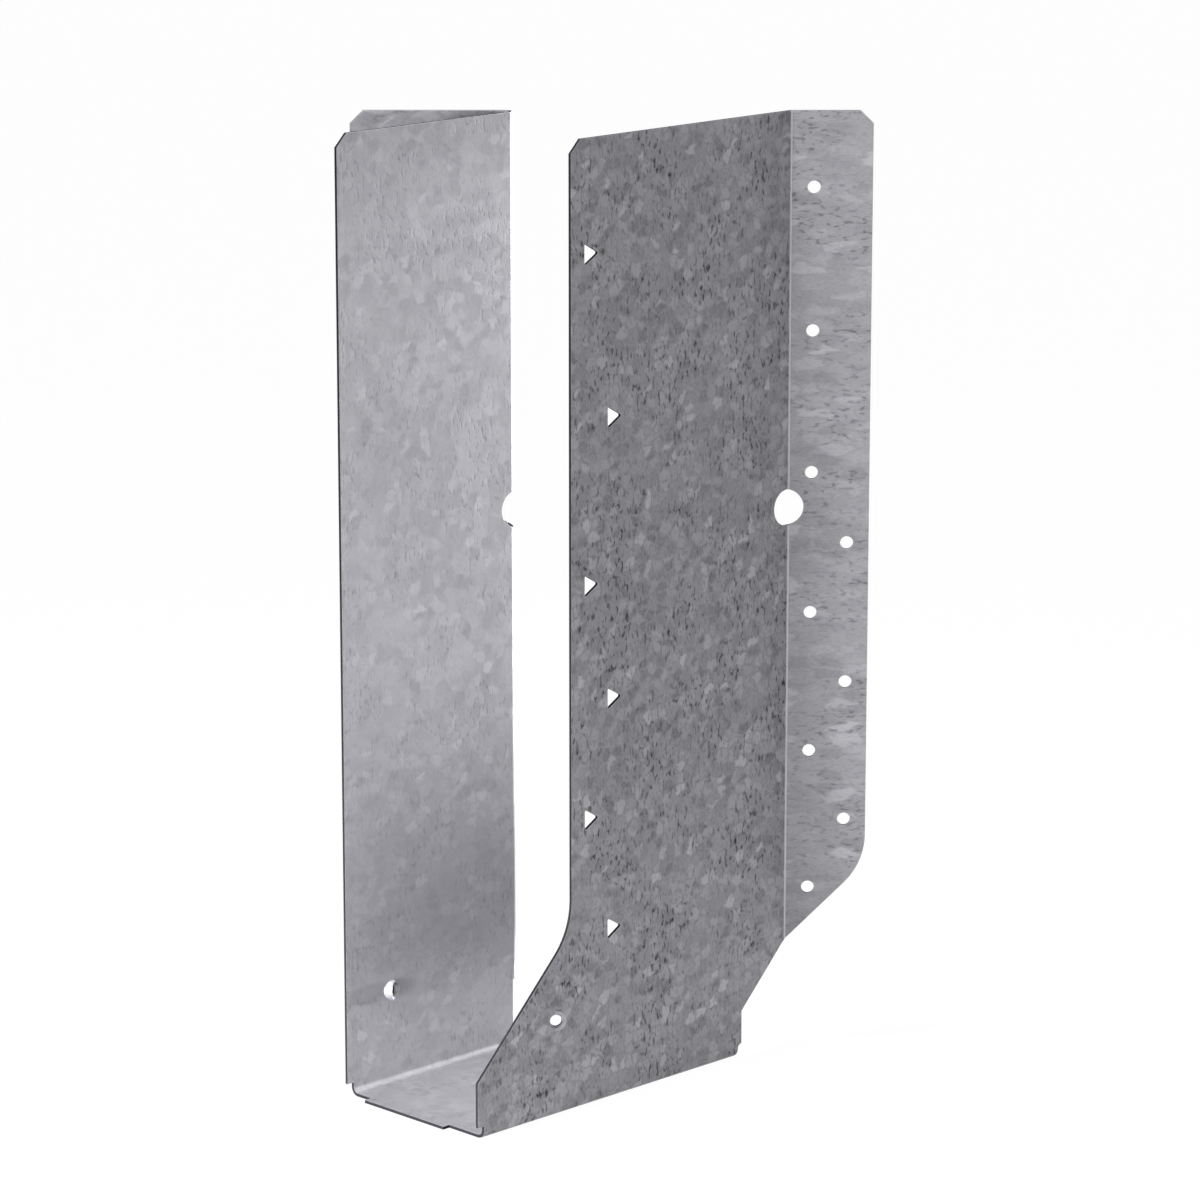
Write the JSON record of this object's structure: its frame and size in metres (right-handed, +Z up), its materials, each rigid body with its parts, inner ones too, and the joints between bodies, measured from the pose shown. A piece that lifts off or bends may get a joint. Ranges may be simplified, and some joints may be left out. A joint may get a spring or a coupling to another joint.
{
  "type": "joist hanger",
  "caption": "Skewed face-mount joist hanger folded from galvanised sheet: a seat and two walls hold the joist at 45 degrees, outward flanges nail to the header.",
  "frame": {"origin": "middle of the seat's underside", "axes": "+Z up along the walls, +Y square into the header, +X to the right seen from the joist's side; the joist runs from -X-Y to the header at 45 degrees"},
  "size_m": [0.1846, 0.1095, 0.3398],
  "materials": {
    "galvanised_steel": "hot-dip galvanised, faint soft spangle, matt to satin"
  },
  "bodies": {
    "root": {"hanger": "galvanised_steel"}
  },
  "joints": []
}
